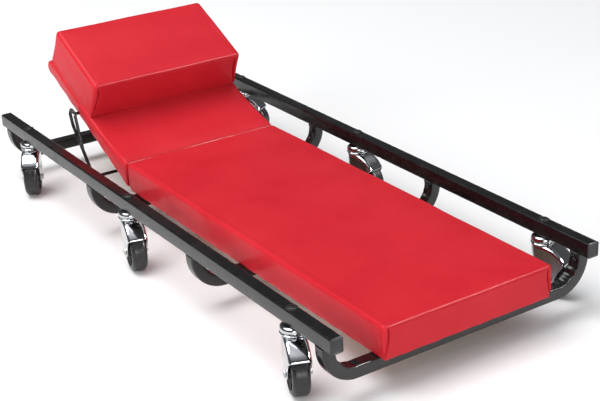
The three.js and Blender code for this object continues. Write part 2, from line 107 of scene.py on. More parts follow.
class Finish:
    """A Principled material, with short calls for the nodes that feed it."""

    def __init__(self, name, **values):
        self.material = bpy.data.materials.new(name)
        self.material.use_nodes = True
        self.tree = self.material.node_tree
        self.shader = self.tree.nodes["Principled BSDF"]
        self.place = self.node("TexCoord").outputs["Object"]
        for socket, value in values.items():
            self.set(socket.replace("_", " "), value)

    def node(self, kind, inputs=None, **settings):
        made = self.tree.nodes.new("ShaderNode" + kind)
        for name, value in settings.items():
            setattr(made, name, value)
        for socket, value in (inputs or {}).items():
            self.connect(made.inputs[socket], value)
        return made

    def connect(self, socket, value):
        if isinstance(value, bpy.types.NodeSocket):
            self.tree.links.new(value, socket)
        else:
            socket.default_value = (*value, 1.0) if socket.type == "RGBA" else value

    def set(self, socket, value):
        self.connect(self.shader.inputs[socket], value)

    def stretched(self, scale):
        return self.node("Mapping", {"Vector": self.place, "Scale": scale}).outputs[0]

    def noise(self, scale, detail=2.0, roughness=0.5, at=None):
        inputs = {"Vector": at or self.place, "Scale": scale, "Detail": detail, "Roughness": roughness}
        return self.node("TexNoise", inputs).outputs["Fac"]

    def cells(self, scale, feature="F1", at=None):
        inputs = {"Vector": at or self.place, "Scale": scale}
        return self.node("TexVoronoi", inputs, feature=feature).outputs["Distance"]

    def spread(self, value, low, high, start=0.0, end=1.0):
        """Takes a value from the range start..end to the range low..high."""
        inputs = {"Value": value, "From Min": start, "From Max": end, "To Min": low, "To Max": high}
        return self.node("MapRange", inputs).outputs["Result"]

    def mix(self, share, a, b):
        made = self.node("Mix", data_type="RGBA")
        self.connect(made.inputs[0], share)
        self.connect(made.inputs[6], a)
        self.connect(made.inputs[7], b)
        return made.outputs[2]

    def paint(self, share, a, b):
        """The base colour: two mixed by a share."""
        self.set("Base Color", self.mix(share, a, b))

    def bump(self, height, depth, strength=1.0, over=None):
        """A bump of a given depth in metres, on top of another one."""
        inputs = {"Height": height, "Distance": depth, "Strength": strength}
        if over is not None:
            inputs["Normal"] = over
        return self.node("Bump", inputs).outputs["Normal"]


def red_vinyl():
    """Calendered vinyl: a fine leather grain, a soft sheen, and slightly uneven colour."""
    f = Finish("red_vinyl", Specular_IOR_Level=0.05, Coat_Weight=0.17, Coat_Roughness=0.17)
    broad = f.noise(9, 3)
    fine = f.noise(140, 4)
    tone = f.mix(f.spread(broad, 0, 1, 0.35, 0.65), (0.55, 0.017, 0.028), (0.60, 0.023, 0.034))
    f.paint(f.spread(fine, 0.0, 0.10, 0.4, 0.75), tone, (0.42, 0.010, 0.018))
    f.set("Roughness", f.spread(f.noise(60, 3), 0.38, 0.50, 0.3, 0.7))
    grain = f.bump(f.spread(f.cells(780, "DISTANCE_TO_EDGE"), 0, 1, 0.0, 0.35), 0.00006, 0.55)
    f.set("Normal", f.bump(f.noise(45, 3), 0.0005, 0.35, grain))
    return f.material


def frame_paint():
    """Baked black enamel on tube: a faint orange peel, a little dust and rubbed patches."""
    f = Finish("frame_paint", Specular_IOR_Level=0.5, Coat_Weight=0.2, Coat_Roughness=0.1)
    dust = f.spread(f.noise(22, 6, 0.65), 0, 1, 0.48, 0.80)
    f.paint(dust, (0.0045, 0.0045, 0.005), (0.014, 0.0135, 0.013))
    f.set("Roughness", f.spread(f.noise(38, 5), 0.20, 0.34, 0.3, 0.7))
    peel = f.bump(f.noise(520, 2), 0.00008, 0.35)
    f.set("Normal", f.bump(f.noise(70, 2), 0.0004, 0.10, peel))
    return f.material


def chrome():
    """Bright plating with faint smears and pressing marks."""
    f = Finish("caster_chrome", Metallic=1.0)
    smear = f.noise(1, 4, at=f.stretched((90, 90, 30)))
    f.paint(f.spread(smear, 0, 1, 0.4, 0.8), (0.62, 0.63, 0.65), (0.46, 0.47, 0.49))
    f.set("Roughness", f.spread(smear, 0.04, 0.14, 0.35, 0.75))
    f.set("Normal", f.bump(f.noise(120, 2), 0.0002, 0.12))
    return f.material


def zinc_steel():
    """Passivated zinc plate: dull, slightly yellow and blue, with fine rolling lines."""
    f = Finish("zinc_steel", Metallic=1.0)
    lines = f.noise(1, 3, at=f.stretched((40, 900, 900)))
    tint = f.spread(f.noise(60, 3), 0, 1, 0.35, 0.65)
    f.paint(tint, (0.56, 0.54, 0.46), (0.50, 0.53, 0.56))
    f.set("Roughness", f.spread(lines, 0.26, 0.44, 0.3, 0.7))
    f.set("Normal", f.bump(lines, 0.00005, 0.4))
    return f.material


def nut_black():
    """Black oxide on the small fixings."""
    f = Finish("nut_black", Specular_IOR_Level=0.5)
    worn = f.spread(f.noise(300, 4, 0.6), 0, 1, 0.55, 0.75)
    f.paint(worn, (0.012, 0.012, 0.013), (0.05, 0.048, 0.045))
    f.set("Roughness", f.spread(f.noise(150, 3), 0.24, 0.40, 0.3, 0.7))
    f.set("Normal", f.bump(f.noise(400, 2), 0.0001, 0.2))
    return f.material


def wheel_black():
    """Hard moulded tread with scuffs round it and a dusting of floor dirt."""
    f = Finish("wheel_black", Specular_IOR_Level=0.5)
    dirt = f.spread(f.noise(110, 6, 0.7), 0, 1, 0.52, 0.80)
    f.paint(dirt, (0.011, 0.010, 0.011), (0.036, 0.033, 0.030))
    f.set("Roughness", f.spread(f.noise(90, 4), 0.26, 0.48, 0.3, 0.7))
    scuffs = f.bump(f.noise(1, 3, at=f.stretched((900, 160, 160))), 0.0001, 0.3)
    f.set("Normal", f.bump(f.noise(700, 2), 0.00006, 0.3, scuffs))
    return f.material


def cap_plastic():
    """Injection-moulded plugs with a fine spark-eroded texture."""
    f = Finish("cap_plastic", Specular_IOR_Level=0.4)
    shade = f.spread(f.noise(80, 4), 0, 1, 0.35, 0.7)
    f.paint(shade, (0.024, 0.025, 0.026), (0.040, 0.041, 0.043))
    f.set("Roughness", f.spread(f.noise(200, 3), 0.42, 0.56, 0.3, 0.7))
    f.set("Normal", f.bump(f.noise(1500, 1), 0.00008, 0.5))
    return f.material


def plywood():
    """Rotary-cut face veneer: long grain, darker streaks and small open pores."""
    f = Finish("plywood", Roughness=0.72, Specular_IOR_Level=0.3)
    grain = f.noise(1, 5, 0.6, f.stretched((150, 9, 700)))
    rings = f.noise(1, 2, at=f.stretched((24, 1.6, 260)))
    tone = f.mix(f.spread(rings, 0, 1, 0.3, 0.7), (0.42, 0.255, 0.12), (0.56, 0.375, 0.20))
    f.paint(f.spread(grain, 0.0, 0.5, 0.4, 0.7), tone, (0.28, 0.15, 0.06))
    f.set("Normal", f.bump(grain, 0.0003, 0.35))
    return f.material


MATERIALS = {
    "frame_paint": frame_paint(),
    "cap_plastic": cap_plastic(),
    "nut_black": nut_black(),
    "caster_chrome": chrome(),
    "zinc_steel": zinc_steel(),
    "wheel_black": wheel_black(),
    "plywood": plywood(),
    "red_vinyl": red_vinyl(),
}


# ---- mesh helpers

MERGE = 0.00001  # points closer than this, in metres, become one


def added(name, data):
    """A new object in the scene."""
    made = bpy.data.objects.new(name, data)
    bpy.context.scene.collection.objects.link(made)
    return made


def piece(name, slot, vertices, faces, place=WORLD, sharp=38):
    """A shaded mesh object from points in mm, laid out in a frame of its own."""
    mesh = bpy.data.meshes.new(name)
    mesh.from_pydata([place @ (Vector(v) * MM) for v in vertices], [], faces)
    mesh.materials.append(MATERIALS[slot])
    made = added(name, mesh)
    tidy(made)
    shade(made, sharp)
    return made


def tidy(made):
    """Joins doubled points and turns every face outwards."""
    work = bmesh.new()
    work.from_mesh(made.data)
    bmesh.ops.remove_doubles(work, verts=work.verts, dist=MERGE)
    put_back(work, made)


def put_back(work, made):
    """Writes an edited mesh back into its object with every face turned outwards."""
    bmesh.ops.recalc_face_normals(work, faces=work.faces)
    work.to_mesh(made.data)
    work.free()


def shade(made, sharp):
    made.data.shade_smooth()
    made.data.set_sharp_from_angle(angle=math.radians(sharp))


def apply_modifiers(made, sharp=None):
    """Bakes an object's modifiers into its mesh."""
    depsgraph = bpy.context.evaluated_depsgraph_get()
    mesh = bpy.data.meshes.new_from_object(made.evaluated_get(depsgraph))
    made.modifiers.clear()
    made.data = mesh
    if sharp:
        shade(made, sharp)
    return made


def bevelled(made, width, segments=2, angle=35, sharp=38):
    bevel = made.modifiers.new("Bevel", "BEVEL")
    bevel.width = width * MM
    bevel.segments = segments
    bevel.limit_method = "ANGLE"
    bevel.angle_limit = math.radians(angle)
    return apply_modifiers(made, sharp)


def cut(made, *tools, operation="DIFFERENCE", sharp=None):
    """Takes the tools' volumes away, or adds them, and removes the tools."""
    for tool in tools:
        boolean = made.modifiers.new("Cut", "BOOLEAN")
        boolean.object = tool
        boolean.operation = operation
        boolean.solver = "EXACT"
    apply_modifiers(made, sharp)
    for tool in tools:
        bpy.data.objects.remove(tool)
    return made


def joined(made, *others):
    """One object out of several; the others go into the first."""
    bpy.ops.object.select_all(action="DESELECT")
    for o in (made, *others):
        o.select_set(True)
    bpy.context.view_layer.objects.active = made
    bpy.ops.object.join()
    return made


def copy_of(made, name, place):
    """A copy of a finished piece, moved by a frame."""
    twin = made.copy()
    twin.data = made.data.copy()
    twin.data.transform(place)
    twin.name = name
    bpy.context.scene.collection.objects.link(twin)
    return twin


def arc(centre, radius, start, end, steps):
    """Points on an arc in a plane, from one angle in degrees to another."""
    angles = np.radians(np.linspace(start, end, steps + 1))
    return [(centre[0] + radius * math.cos(a), centre[1] + radius * math.sin(a)) for a in angles]


def rounded_rectangle(width, height, radius, steps=5, flat=1):
    """A closed outline, anticlockwise, with each straight side split into flat stretches."""
    x, y = width / 2 - radius, height / 2 - radius
    points = []
    for i, (cx, cy) in enumerate([(x, -y), (x, y), (-x, y), (-x, -y)]):
        corner = arc((cx, cy), radius, -90 + 90 * i, 90 * i, steps)
        if points:
            points += between(points[-1], corner[0], flat)
        points += corner
    return points + between(points[-1], points[0], flat)


def between(a, b, parts):
    return [tuple(np.array(a) + (np.array(b) - np.array(a)) * i / parts) for i in range(1, parts)]


def loops(rings, closed=False, capped=False):
    """Faces that join rings of equally many points, all in one list of vertices."""
    count = len(rings[0])
    vertices = [p for ring in rings for p in ring]
    faces = []
    for i in range(len(rings) if closed else len(rings) - 1):
        a, b = i * count, (i + 1) % len(rings) * count
        faces += [(a + j, a + (j + 1) % count, b + (j + 1) % count, b + j) for j in range(count)]
    if capped:
        faces += [tuple(range(count))[::-1], tuple(range(len(vertices) - count, len(vertices)))]
    return vertices, faces


def turned(name, slot, profile, place=WORLD, sides=48, sharp=32):
    """A closed profile of (radius, height) turned about Z; points on the axis meet in one."""
    angles = np.linspace(0, 2 * math.pi, sides, endpoint=False)
    rings = [[(r * math.cos(a), r * math.sin(a), z) for r, z in profile] for a in angles]
    return piece(name, slot, *loops(rings, closed=True), place=place, sharp=sharp)


def prism(name, slot, outline, low, high, place=WORLD):
    """An outline in X and Y, raised from one height to another."""
    rings = [[(x, y, z) for x, y in outline] for z in (low, high)]
    return piece(name, slot, *loops(rings, capped=True), place=place)


def block(name, slot, low, high):
    """A plain box, only used as a cutting tool or before bevelling."""
    outline = [(low[0], low[1]), (high[0], low[1]), (high[0], high[1]), (low[0], high[1])]
    return prism(name, slot, outline, low[2], high[2])


def facing(point, direction):
    """A frame at a point in mm whose Z points in a direction."""
    turn = Vector(direction).to_track_quat("Z", "Y").to_matrix().to_4x4()
    return shift(point) @ turn


def replaced(made, slot, body, *nodes):
    """A hard piece that stands for CAD nodes."""
    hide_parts(*nodes)
    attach(made, body)


def grouped(name, body, parts):
    """Many small parts as one piece of a body."""
    whole = joined(*parts)
    whole.name = name
    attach(whole, body)


# ---- pads

COVER = 0.9  # thickness of the vinyl turned under the boards
HEM = 26  # how far it is turned under
POCKET_GAP = 0.3  # round each board, inside its cover
STAPLE_PITCH = 41
STAPLE_DRAW = 0.9  # how far each staple draws the lower edge in
STAPLE_ROOM = 7  # kept clear round anything that lies against a hem
PRESSURE = 4
SWELL_FRAMES = 20
HELD_HEIGHT = 5  # the lowest part of a cover, which does not move
SWELL_SHAPE = 0.7  # below 1 a swelling pad comes up fuller towards its edges
SWELL_FOOT = 24  # height over which it grows from nothing at the board
SIDE_EASE = 140  # distance from the middle at which the sides are fully drawn in
HEADREST_LEVEL = 34  # the headrest pad's top under the pillow
RIDGE = 4.5  # how far the hinge end stands over the level of the body pad
LIP_LENGTH = 22
LIP_DROP = 17
V_SLANT = 12  # how far the hinge end's top leans back from its foot


def ease(share):
    share = np.clip(share, 0, 1)
    return share * share * (3 - 2 * share)


def spaced(low, high, fine, coarse, band):
    """Grid lines between two ends: fine near both, growing coarse past a band."""
    steps = [0.0]
    while steps[-1] < (high - low) / 2:
        steps.append(steps[-1] + fine + (coarse - fine) * min(1, steps[-1] / band) ** 2)
    half = low + np.array(steps) * (high - low) / 2 / steps[-1]
    return list(half) + list(low + high - half[-2::-1])


def grid_block(*lines):
    """A closed block meshed on the given X, Y and Z lines."""
    index, faces = {}, []
    for axis in range(3):
        u, v = (axis + 1) % 3, (axis + 2) % 3
        for end in (0, len(lines[axis]) - 1):
            for a in range(len(lines[u]) - 1):
                for b in range(len(lines[v]) - 1):
                    face = []
                    for step_u, step_v in ((0, 0), (1, 0), (1, 1), (0, 1)):
                        key = [end, end, end]
                        key[u], key[v] = a + step_u, b + step_v
                        face.append(index.setdefault(tuple(key), len(index)))
                    faces.append(face)
    return np.array([[lines[i][key[i]] for i in range(3)] for key in index]), faces


def round_block(points, low, high, bottom, top):
    """Rounds a block's edges by one radius at its foot that grows to another at its top."""
    height = (points[:, 2] - low[2]) / (high[2] - low[2])
    reach = np.interp(height, [0.15, 0.6], [bottom, top])[:, None]
    inner = np.clip(points, np.array(low) + reach, np.array(high) - reach)
    away = points - inner
    length = np.linalg.norm(away, axis=1, keepdims=True)
    return inner + away * reach / np.maximum(length, 1e-6)


def pad_grid(low, high, bottom, top, along=(1.8, 8, 24)):
    """A rounded, closed block in a pad's place, meshed finely along its edges."""
    points, faces = grid_block(
        spaced(low[0], high[0], 1.2, 8, 26),
        spaced(low[1], high[1], *along),
        spaced(low[2], high[2], 1.8, 6, 14),
    )
    return round_block(points, low, high, bottom, top), faces


def draw_sides_in(points, amount):
    x = points[:, 0]
    points[:, 0] -= np.sign(x) * amount * ease(np.abs(x) / SIDE_EASE)


def points_of(made):
    return np.array([v.co for v in made.data.vertices]) / MM


def move_points(made, points):
    made.data.vertices.foreach_set("co", (points * MM).ravel())
    made.data.update()


def swell(made, most):
    """Blows a closed cover up as cloth, held at its foot, and keeps its outward rise, scaled to a most."""
    before = points_of(made)
    normals = np.array([v.normal for v in made.data.vertices])
    height = before[:, 2] - before[:, 2].min()
    group = made.vertex_groups.new(name="held")
    group.add([int(i) for i in np.nonzero(height < HELD_HEIGHT)[0]], 1.0, "REPLACE")
    cloth = made.modifiers.new("Cloth", "CLOTH")
    cloth.settings.vertex_group_mass = group.name
    cloth.settings.use_pressure = True
    cloth.settings.uniform_pressure_force = PRESSURE
    cloth.settings.effector_weights.gravity = 0
    cloth.point_cache.frame_end = SWELL_FRAMES
    for number in range(1, SWELL_FRAMES + 1):
        bpy.context.scene.frame_set(number)
    apply_modifiers(made)
    bpy.context.scene.frame_set(1)
    outward = np.maximum(((points_of(made) - before) * normals).sum(axis=1), 0)
    kept = most * ease(height / SWELL_FOOT) * (outward / outward.max()) ** SWELL_SHAPE
    move_points(made, before + normals * kept[:, None])
    made.vertex_groups.clear()


def slack(points, depth):
    """Broad, shallow unevenness of foam under its cover."""
    x, y, _ = points.T
    waves = np.sin(x / 23 + 1.3) * np.sin(y / 37 + 0.4) + np.sin(x / 41 + y / 29) * np.sin(y / 53)
    points[:, 2] += depth * waves * ease((points[:, 2] - points[:, 2].min()) / 30)


def corner_folds(points, half, end, direction, low, top, start, depth, gather=0.5):
    """The cover's side folded round each corner on to an end face, where it stops at a crease."""
    x, y, z = points.T
    inward = half - np.abs(x)
    down = (top - z) / (top - low)
    crease = start * (1 - 0.75 * ease(down)) + 2.2 * np.sin(math.pi * np.clip(down, 0, 1))
    on_face = ease(1 - np.abs(y - end) / 7)
    fade = ease(down / 0.16) * on_face * (inward < 40)
    groove = -depth * np.exp(-(((inward - crease) / 1.3) ** 2))
    flap = 0.9 * ease((crease - inward) / 1.6)
    slope = 0.5 * np.exp(-np.maximum(inward - crease, 0) / 7)
    points[:, 1] += direction * fade * (groove + flap - slope)
    puckers(points, half, end, low, gather)


def puckers(points, half, end, low, depth):
    """Small gathers that spread from the folded corners along the sides."""
    x, y, z = points.T
    from_end, up = np.abs(y - end), z - low
    angle = np.arctan2(up, from_end + 1)
    distance = np.hypot(from_end, up)
    waves = np.sin(angle * 11) * np.exp(-distance / 26) * ease(distance / 8)
    points[:, 0] += np.sign(x) * depth * waves * ease(1 - (half - np.abs(x)) / 8)


def stapled_edge(points, half, low, ends):
    """The lower edge drawn in at each staple, along the sides and the ends."""
    x, y, z = points.T
    near = STAPLE_DRAW * ease(1 - (z - low) / 11)
    along_x, along_y = (0.5 + 0.5 * np.cos(2 * math.pi * place / STAPLE_PITCH) for place in (x, y))
    side = ease(1 - (half - np.abs(x)) / 9)
    points[:, 0] -= np.sign(x) * near * side * along_y
    for end, direction in ends:
        points[:, 1] -= direction * near * ease(1 - np.abs(y - end) / 9) * along_x


def open_underside(made, board_low, board_high):
    """Leaves a hem under the board and hollows the cover out round the board."""
    hem_low, hem_high = board_low[:2] + HEM, board_high[:2] - HEM
    middle = (board_low[:2] + board_high[:2]) / 2
    spread = (board_high[:2] - middle + POCKET_GAP) / (hem_high - middle)
    work = bmesh.new()
    work.from_mesh(made.data)
    inside = []
    for face in work.faces:
        centre = np.array(face.calc_center_median()) / MM
        within = (centre[:2] > hem_low).all() and (centre[:2] < hem_high).all()
        if within and centre[2] < board_low[2] + 0.5:
            inside.append(face)
    bmesh.ops.delete(work, geom=inside, context="FACES")
    edges = [e for e in work.edges if e.is_boundary]
    for height, grow in ((COVER, 1), (COVER, spread), (board_high[2] - board_low[2] + POCKET_GAP, 1)):
        edges = bmesh.ops.extrude_edge_only(work, edges=edges)["geom"]
        ring = {g for g in edges if isinstance(g, bmesh.types.BMVert)}
        edges = [g for g in edges if isinstance(g, bmesh.types.BMEdge)]
        for vertex in ring:
            flat = middle + (np.array(vertex.co[:2]) / MM - middle) * grow
            vertex.co = Vector((*flat, board_low[2] + height)) * MM
    bmesh.ops.edgeloop_fill(work, edges=edges)
    put_back(work, made)


def swollen(name, points, faces, most, unevenness):
    """A cover drawn over its foam: the piece, and its points, ready for the folds."""
    made = piece(name, "red_vinyl", points, faces, sharp=70)
    swell(made, most)
    made.modifiers.new("Subdivision", "SUBSURF").levels = 1
    apply_modifiers(made)
    points = points_of(made)
    slack(points, unevenness)
    return made, points


def finished_pad(made, place, node):
    """Puts a pad in place, instead of its plain CAD solid."""
    shade(made, 60)
    made.data.transform(place)
    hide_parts(node)
    return made


def body_pad():
    low, high = box_in("body_cushion")
    board_low, board_high = box_in("body_board")
    low[2] = board_low[2]
    points, faces = pad_grid(low, high - (0, 0, 1.0), 3.0, 6.0)
    draw_sides_in(points, np.interp(points[:, 2], [51, 62, 80, 102], [2.4, 1.2, 0, 0.4]))
    made, points = swollen("body_pad", points, faces, 2.6, 0.35)
    ends = [(low[1], -1), (high[1], 1)]
    for end, direction in ends:
        corner_folds(points, high[0], end, direction, low[2], high[2] - 3, 8, 4.2)
    stapled_edge(points, high[0], low[2], ends)
    points[:, 2] = np.maximum(points[:, 2], low[2])
    move_points(made, points)
    open_underside(made, board_low, board_high)
    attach(finished_pad(made, WORLD, "body_cushion"), "frame")


def headrest_height(along, low, high):
    """The headrest pad's top: full at the hinge, level under the pillow, turned down at the head end."""
    fall = high[2] - HEADREST_LEVEL
    level = high[2] - fall * ease((along - low[1] - 26) / 95)
    level += RIDGE * (1 - ease((along - low[1] - 8) / 60))
    from_end = np.clip((along - (high[1] - LIP_LENGTH)) / LIP_LENGTH, 0, 1)
    return level - LIP_DROP * (1 - np.sqrt(np.maximum(1 - from_end**2.4, 0)))


def headrest_pad():
    low, high = box_in("headrest_cushion", HEADREST)
    board_low, board_high = box_in("headrest_board", HEADREST)
    low[2] = board_low[2]
    low[1] = board_low[1] + 1
    start_low, start_high = low - (1.2, 0, 0), high + (1.2, 0, -0.6)
    points, faces = pad_grid(start_low, start_high, 2.5, 6.5)
    share = (points[:, 2] - low[2]) / (start_high[2] - low[2])
    draw_sides_in(points, np.interp(share, [0, 0.25, 0.6, 1], [3.6, 2.2, 0.4, 0]))
    top = headrest_height(points[:, 1], low, high) - 0.5
    points[:, 2] = low[2] + share * (top - low[2])
    points[:, 1] += V_SLANT * share * (1 - ease((points[:, 1] - low[1]) / 46))
    made, points = swollen("headrest_pad", points, faces, 1.4, 0.3)
    corner_folds(points, high[0], high[1], 1, low[2], HEADREST_LEVEL - LIP_DROP, 6, 1.5)
    stapled_edge(points, high[0], low[2], [(low[1], -1), (high[1], 1)])
    points[:, 2] = np.maximum(points[:, 2], low[2])
    move_points(made, points)
    open_underside(made, board_low, board_high)
    finished_pad(made, HEADREST, "headrest_cushion")
    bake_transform(made)


def pillow():
    low, high = box_in("headrest_pillow", HEADREST)
    low[2] -= 0.8
    points, faces = pad_grid(low, high + (0, 0.5, 2.0), 2.5, 7.0, (1.3, 7, 22))
    made, points = swollen("headrest_pillow_pad", points, faces, 2.2, 0.3)
    for end, direction in ((low[1], -1), (high[1], 1)):
        corner_folds(points, high[0], end, direction, low[2] + 0.8, high[2] - 4, 9, 4.2, 0.7)
    points[:, 2] = np.maximum(points[:, 2], low[2])
    move_points(made, points)
    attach(finished_pad(made, HEADREST, "headrest_pillow"), "headrest")


def board(name, node, place, body, *holes):
    """A plywood board whose underside stands on the cover that is turned under it."""
    low, high = box_in(node, place)
    made = block(name, "plywood", low + (0, 0, COVER), high)
    if holes:
        cut(made, *holes)
    bevelled(made, 0.8)
    made.matrix_world = place
    replaced(made, "plywood", body, node)


def boards():
    board("body_plywood", "body_board", WORLD, "frame")
    holes = []
    for side in SIDES:
        low, high = box_in(f"prop_bush_{side}", HEADREST)
        middle, radius = (low + high) / 2, (high[2] - low[2]) / 2 + POCKET_GAP
        ring = arc((0, 0), radius, 0, 345, 23)
        holes.append(prism("bush_hole", "plywood", ring, -15, 15, facing(middle, (1, 0, 0))))
    board("headrest_plywood", "headrest_board", HEADREST, "headrest", *holes)


def staples(name, node, place, body, covers):
    """A row of staples round a hem, left out where something lies against it."""
    low, high = box_in(node, place)
    inset = HEM * 0.55
    sides = [(x, y, 0.25) for x in (low[0] + inset, high[0] - inset)
             for y in np.arange(low[1] + 28, high[1] - 20, STAPLE_PITCH)]
    ends = [(x, y, 1.45) for y in (low[1] + inset, high[1] - inset)
            for x in np.arange(low[0] + 34, high[0] - 25, STAPLE_PITCH)]
    made = []
    for x, y, turn in sides + ends:
        if any(covered((x, y), cover) for cover in covers):
            continue
        spot = shift((x, y, low[2])) @ Matrix.Rotation(turn, 4, "Z")
        made.append(piece("staple", "zinc_steel", *staple_shape(), place=place @ spot))
    grouped(name, body, made)


def covered(spot, cover):
    """Whether a spot lies inside a box, or close round it, seen square to the board."""
    low, high = cover
    return all(low[i] - STAPLE_ROOM < spot[i] < high[i] + STAPLE_ROOM for i in (0, 1))


def all_staples():
    """The hems' staples; the flat headrest's hem lies on the head brace."""
    flat = Matrix.Translation(joint("headrest_tilt")["pos_m"])
    body_covers = [box_in(f"cross_brace_{name}") for name in ("shoulder", "hip", "foot")]
    headrest_covers = [box_in("cross_brace_head", flat)]
    for side in SIDES:
        body_covers.append(box_in(f"hinge_body_leaf_{side}"))
        headrest_covers.append(box_in(f"hinge_head_leaf_{side}", HEADREST))
    staples("body_staples", "body_board", WORLD, "frame", body_covers)
    staples("headrest_staples", "headrest_board", HEADREST, "headrest", headrest_covers)


def staple_shape():
    """A staple's crown, 10 mm wide, bent down into the board at both ends."""
    section = rounded_rectangle(1.1, 0.55, 0.2, 2)
    corner = [(4.6, -0.1), (4.95, 0.05), (5.1, 0.4), (5.1, 2.5)]
    path = [(-a, b) for a, b in reversed(corner)] + corner
    rings = []
    for i, (a, b) in enumerate(path):
        before, after = path[max(i - 1, 0)], path[min(i + 1, len(path) - 1)]
        along = np.array([after[0] - before[0], after[1] - before[1]])
        across = np.array([-along[1], along[0]]) / np.linalg.norm(along)
        rings.append([(a + across[0] * v, u, b + across[1] * v) for u, v in section])
    return loops(rings, capped=True)


# ---- frame

TUBE_WALL = 1.5
TUBE_CORNER = 2.6
BEND_STEPS = 30
BEND_RADIUS = 44
STEM_HOLE = 5.1  # radius, down through a rail for a caster's stem
WELD = 1.9
BEAD = 8.5  # half the length of a weld bead


def rail(side):
    low, high = box_in(f"side_rail_{side}")
    middle, size = (low + high) / 2, high - low
    outside = rounded_rectangle(size[0], size[2], TUBE_CORNER, 6)
    inside = rounded_rectangle(size[0] - 2 * TUBE_WALL, size[2] - 2 * TUBE_WALL, 1.2, 6)
    rings = []
    for outline, end in ((outside, low[1]), (outside, high[1]), (inside, high[1]), (inside, low[1])):
        rings.append([(middle[0] + x, end, middle[2] + z) for x, z in outline])
    made = piece(f"rail_{side}", "frame_paint", *loops(rings, closed=True))
    for caster in CASTERS:
        if caster.startswith(side):
            x, y, _ = Vector(joint(f"swivel_{caster}")["pos_m"]) / MM
            ring = [(x + a, y + b) for a, b in arc((0, 0), STEM_HOLE, 0, 350, 35)]
            cut(made, prism("stem_hole", "frame_paint", ring, low[2] - 5, high[2] + 5))
    bevelled(made, 0.35, 1, 50)
    replaced(made, "frame_paint", "frame", f"side_rail_{side}")


def plug(side, end):
    """A moulded end plug: a chamfered, slightly dished face on a spigot inside the rail."""
    low, high = box_in(f"side_rail_{side}")
    middle, size = (low + high) / 2, high - low
    steps = [  # narrower than the rail by, out from the rail's end, corner radius
        (3.6, -12, 1.0), (3.6, 0.3, 1.0), (0.0, 0.3, 2.4), (0.0, 1.2, 2.4), (0.5, 1.7, 2.3), (1.4, 2.0, 2.0),
        (3.6, 2.0, 1.6), (4.3, 1.7, 1.4), (4.8, 1.5, 1.3),
    ]
    direction = ENDS[end]
    rings = []
    for narrower, out, corner in steps:
        outline = rounded_rectangle(size[0] - narrower, size[2] - narrower, corner, 5)
        y = (high[1] if direction > 0 else low[1]) + direction * out
        rings.append([(middle[0] + x, y, middle[2] + z) for x, z in outline])
    made = piece(f"rail_plug_{side}_{end}", "cap_plastic", *loops(rings, capped=True), sharp=30)
    replaced(made, "cap_plastic", "frame", f"rail_cap_{side}_{end}")


def bend_stations(half, top, low):
    """The brace's centre line from its middle to one end: place, way along, and share of the bend."""
    stations = [((x, low), (1, 0), 0.0) for x in np.linspace(0, half - BEND_RADIUS, 9)[:-1]]
    centre = (half - BEND_RADIUS, low + BEND_RADIUS)
    for share in np.linspace(0, 1, BEND_STEPS + 1):
        angle = math.radians(-90 + 90 * share)
        place = (centre[0] + BEND_RADIUS * math.cos(angle), centre[1] + BEND_RADIUS * math.sin(angle))
        stations.append((place, (-math.sin(angle), math.cos(angle)), share))
    stations.append(((half, top), (0, 1), 0.0))
    return stations


def pressed(across, out, share):
    """The tube's section in a bend: its inner wall is crushed in ripples and its sides bulge."""
    crush = math.sin(math.pi * share) ** 0.6 if 0 < share < 1 else 0.0
    inner = min(max((-out - 3.5) / 5.5, 0), 1) ** 2
    middle = 1 - (across / 10.5) ** 2
    ripple = 1.3 * math.sin(2 * math.pi * 4.5 * share) * middle
    out += crush * inner * (2.4 * middle + ripple)
    across *= 1 + 0.05 * crush * (1 - (out / 11) ** 2)
    return across, out


def brace(name):
    low, high = box_in(f"cross_brace_{name}")
    tube = high[1] - low[1]
    y = (low[1] + high[1]) / 2
    half = high[0] - tube / 2
    right = bend_stations(half, high[2], low[2] + tube / 2)
    left = [((-place[0], place[1]), (way[0], -way[1]), share) for place, way, share in right[:0:-1]]
    rings = []
    outside = rounded_rectangle(tube, tube, TUBE_CORNER, 5, 6)
    inside = rounded_rectangle(tube - 2 * TUBE_WALL, tube - 2 * TUBE_WALL, 1.2, 5, 6)
    for outline, stations in ((outside, left + right), (inside, (left + right)[::-1])):
        for (x, z), (along_x, along_z), share in stations:
            ring = []
            for across, out in outline:
                across, out = pressed(across, out, share)
                ring.append((x + out * along_z, y + across, z - out * along_x))
            rings.append(ring)
    made = piece(f"brace_{name}", "frame_paint", *loops(rings, closed=True), sharp=50)
    replaced(made, "frame_paint", "frame", f"cross_brace_{name}")


def tube_along(name, route, radii, sides):
    """A painted round bar along a route, with a radius at each point, its ends closed."""
    route = [Vector(p) for p in route]
    ways = []
    for i in range(len(route)):
        ways.append((route[min(i + 1, len(route) - 1)] - route[max(i - 1, 0)]).normalized())
    across = ways[0].orthogonal().normalized()
    rings = []
    for point, way, radius in zip(route, ways, radii):
        across = (across - way * across.dot(way)).normalized()
        third = way.cross(across)
        angles = np.linspace(0, 2 * math.pi, sides, endpoint=False)
        rings.append([point + (across * math.cos(a) + third * math.sin(a)) * radius for a in angles])
    return piece(name, "frame_paint", *loops(rings, capped=True), sharp=50)


def weld_bead(start, end):
    """A rippled bead of weld between two points."""
    start, end = Vector(start), Vector(end)
    shares = np.linspace(0, 1, 37)
    radii = []
    for share in shares:
        ripple = 0.82 + 0.18 * abs(math.sin(share * 24))
        radii.append(WELD * ripple * min(1, 8 * share + 0.25, 8.25 - 8 * share))
    return tube_along("bead", [start.lerp(end, share) for share in shares], radii, 10)


